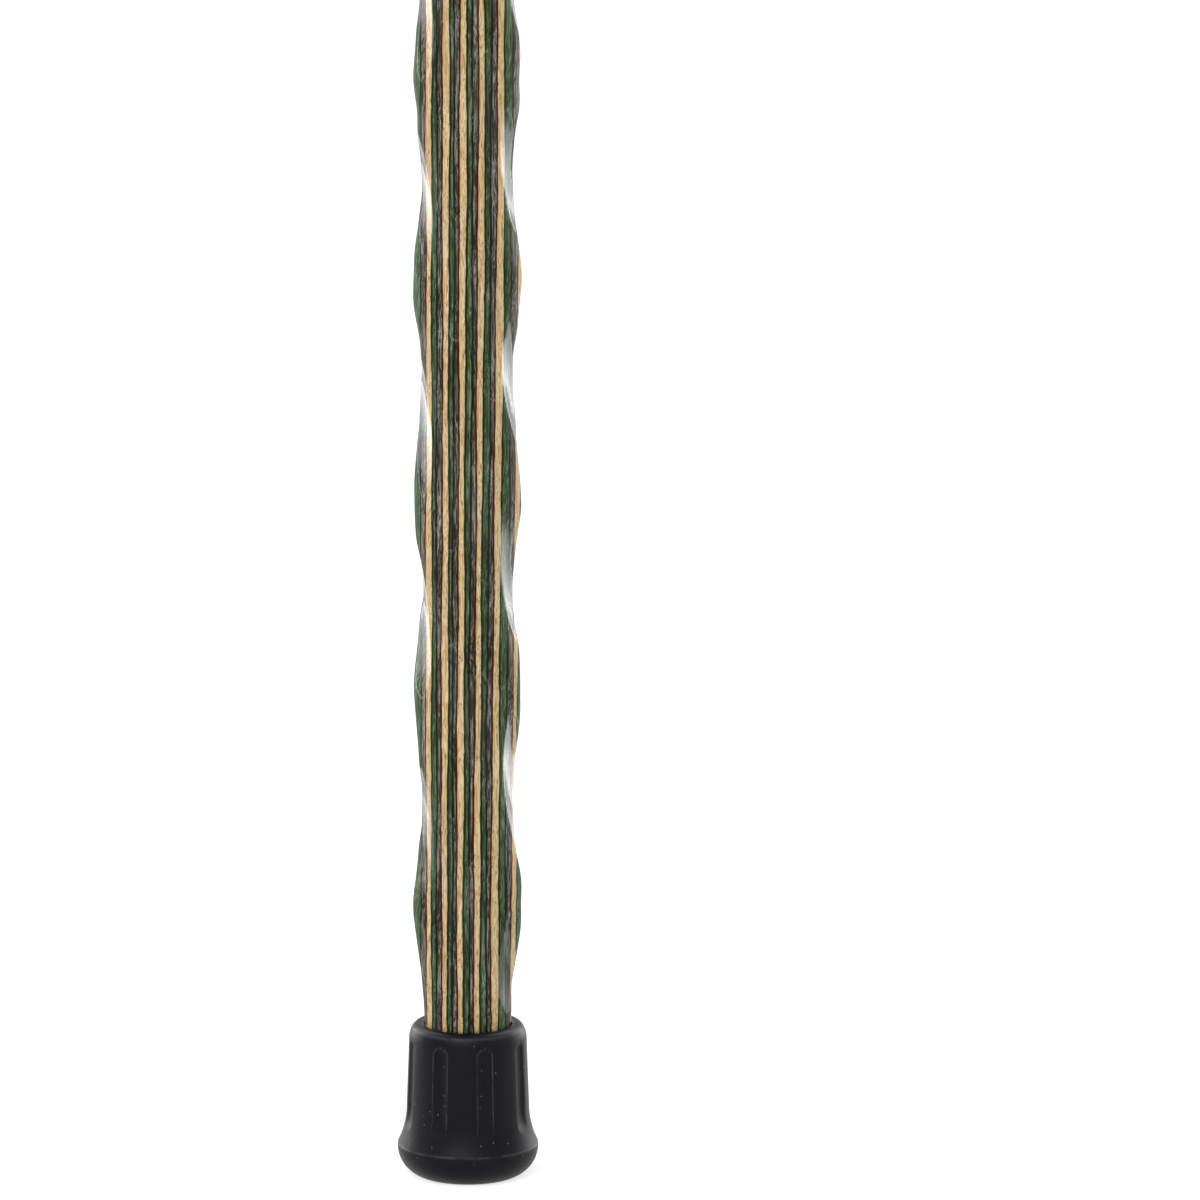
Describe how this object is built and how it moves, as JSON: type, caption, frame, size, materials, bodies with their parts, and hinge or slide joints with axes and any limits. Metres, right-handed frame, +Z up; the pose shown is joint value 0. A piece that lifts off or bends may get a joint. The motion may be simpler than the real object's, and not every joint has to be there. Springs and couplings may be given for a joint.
{
  "type": "hiking staff",
  "caption": "Straight hiking staff with a spiral-carved shaft of laminated green, grey and natural wood veneers, a wrist-strap hole near the top and a fluted slip-on rubber ferrule.",
  "frame": {"origin": "centre of the ferrule's tread on the ground", "axes": "+Z up along the shaft, -Y towards the viewer, veneers in planes square to X"},
  "size_m": [0.0414, 0.0414, 1.219],
  "materials": {
    "veneer_green": "dyed green veneer under clear varnish",
    "veneer_grey": "dyed charcoal veneer under clear varnish",
    "veneer_natural": "natural pale veneer under clear varnish",
    "rubber": "moulded black rubber, satin",
    "washer_steel": "zinc-plated steel"
  },
  "bodies": {
    "foot": {"rubber_ferrule": "rubber", "steel_washer": "washer_steel"},
    "shaft": {"veneer_01_green": "veneer_green", "veneer_02_grey": "veneer_grey", "veneer_03_natural": "veneer_natural", "veneer_04_green": "veneer_green", "veneer_05_grey": "veneer_grey", "veneer_06_natural": "veneer_natural", "veneer_07_green": "veneer_green", "veneer_08_grey": "veneer_grey", "veneer_09_natural": "veneer_natural", "veneer_10_green": "veneer_green", "veneer_11_grey": "veneer_grey", "veneer_12_natural": "veneer_natural", "veneer_13_green": "veneer_green", "veneer_14_grey": "veneer_grey", "veneer_15_natural": "veneer_natural", "veneer_16_green": "veneer_green", "veneer_17_grey": "veneer_grey", "veneer_18_natural": "veneer_natural", "veneer_19_green": "veneer_green"}
  },
  "joints": [
    {"name": "shaft_pull", "type": "slide", "parent": "foot", "child": "shaft", "axis": [0, 0, 1], "range_m": [0, 0.045]}
  ]
}
